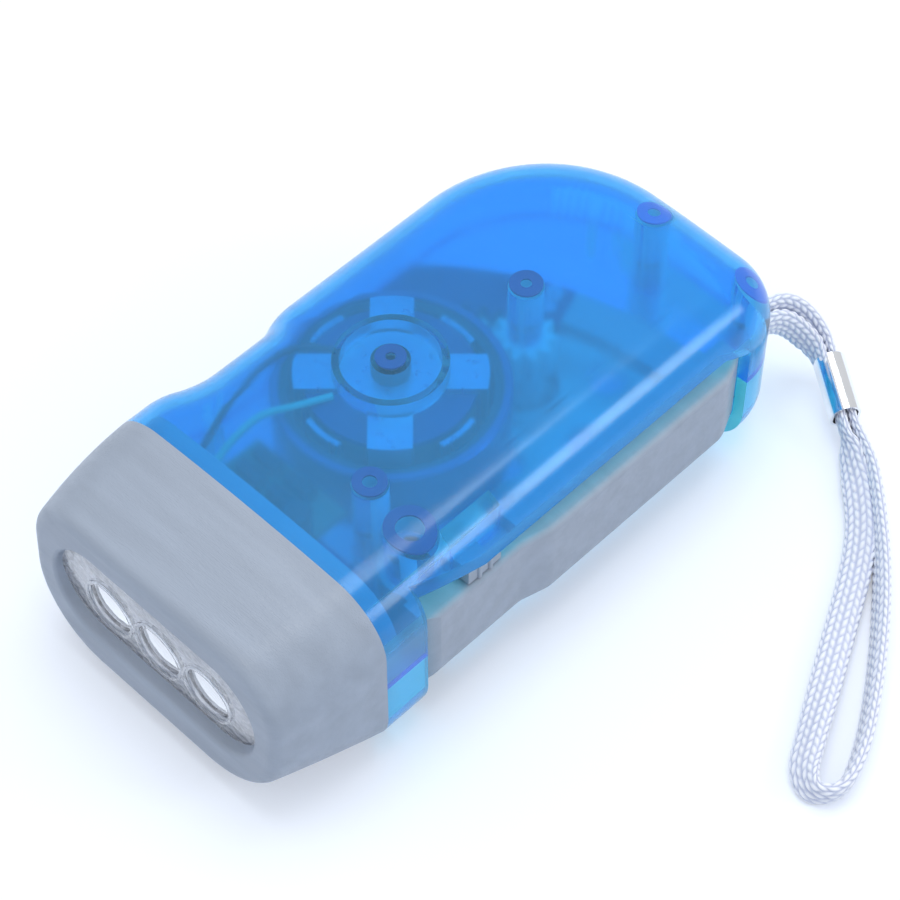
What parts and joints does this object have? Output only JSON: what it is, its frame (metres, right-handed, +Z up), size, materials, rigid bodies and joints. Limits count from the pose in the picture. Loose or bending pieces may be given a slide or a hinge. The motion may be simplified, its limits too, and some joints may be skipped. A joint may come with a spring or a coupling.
{
  "type": "hand squeeze dynamo flashlight",
  "caption": "Palm-sized see-through torch with a grey head, a row of lamps behind a round-ended lens, a side squeeze lever that spins a dynamo, and a wrist strap.",
  "frame": {"origin": "on the flat under side, below the middle of the body's width at the lever side's reference point", "axes": "+Z up with the torch lying on its lower shell, beam along -Y, squeeze lever on the +X side, strap at the +Y end"},
  "size_m": [0.0978, 0.1086, 0.032],
  "materials": {
    "translucent_blue": "glossy outside, frosted inside, see-through",
    "grey_plastic": "fine matte grain",
    "clear_lens": "clear, polished",
    "bright_reflector": "bright",
    "lamp_clear": "water-clear",
    "board": "satin",
    "dark_plastic": "satin",
    "white_plastic": "satin",
    "steel": "turned",
    "rotor_steel": "dull",
    "magnet": "ground",
    "copper": "enamelled winding",
    "cell_sleeve": "shrunk sleeve",
    "part_black": "moulded",
    "wire_green": "insulation",
    "wire_red": "insulation",
    "strap_fabric": "woven braid",
    "ferrule_chrome": "polished"
  },
  "bodies": {
    "torch": {"upper_shell": "translucent_blue", "lower_shell": "translucent_blue", "head_bezel": "grey_plastic", "front_lens": "clear_lens", "reflector": "bright_reflector", "led_board": "board", "led_1": "lamp_clear", "led_2": "lamp_clear", "led_3": "lamp_clear", "lever_pivot_pin": "steel", "return_spring": "steel", "gear_axle": "steel", "flywheel_axle": "steel", "upper_claw_plate": "steel", "lower_claw_plate": "steel", "coil_bobbin": "dark_plastic", "coil_winding": "copper", "shell_screws": "steel", "cell_pack": "cell_sleeve", "cell_tabs": "steel", "rectifier_board": "board", "rectifier_diodes": "part_black", "storage_capacitor": "part_black", "lead_wire_a": "wire_green", "lead_wire_b": "wire_red", "cell_wire": "wire_red", "strap_ferrule": "ferrule_chrome", "wrist_strap": "strap_fabric"},
    "lever": {"squeeze_lever": "grey_plastic", "sector_gear": "dark_plastic", "sector_rivets": "steel"},
    "gears": {"drive_gear": "white_plastic", "sector_pinion": "white_plastic", "ratchet_pawl": "dark_plastic"},
    "rotor": {"flywheel": "rotor_steel", "ring_magnet": "magnet", "flywheel_pinion": "white_plastic"},
    "lock": {"lock_slider": "grey_plastic"}
  },
  "joints": [
    {"name": "flywheel_spin", "type": "hinge", "parent": "torch", "child": "rotor", "pos_m": [-0.005, -0.00075, 0], "axis": [0, 0, 1], "range_deg": [0, 1341.2]},
    {"name": "gear_spin", "type": "hinge", "parent": "torch", "child": "gears", "pos_m": [-0.00092, 0.02107, 0], "axis": [0, 0, -1], "range_deg": [0, 259.6]},
    {"name": "lever_swing", "type": "hinge", "parent": "torch", "child": "lever", "pos_m": [0.0163, -0.01855, 0.016], "axis": [0, 0, -1], "range_deg": [0, 22], "stiffness_Nm_per_rad": 0.15, "springref_deg": 37.24},
    {"name": "lock_slide", "type": "slide", "parent": "torch", "child": "lock", "axis": [0, 1, 0], "range_m": [0, 0.0045]}
  ],
  "couplings": [
    {"joint": "gear_spin", "follows": "flywheel_spin", "ratio": 0.19355},
    {"joint": "lever_swing", "follows": "flywheel_spin", "ratio": 0.016402}
  ]
}
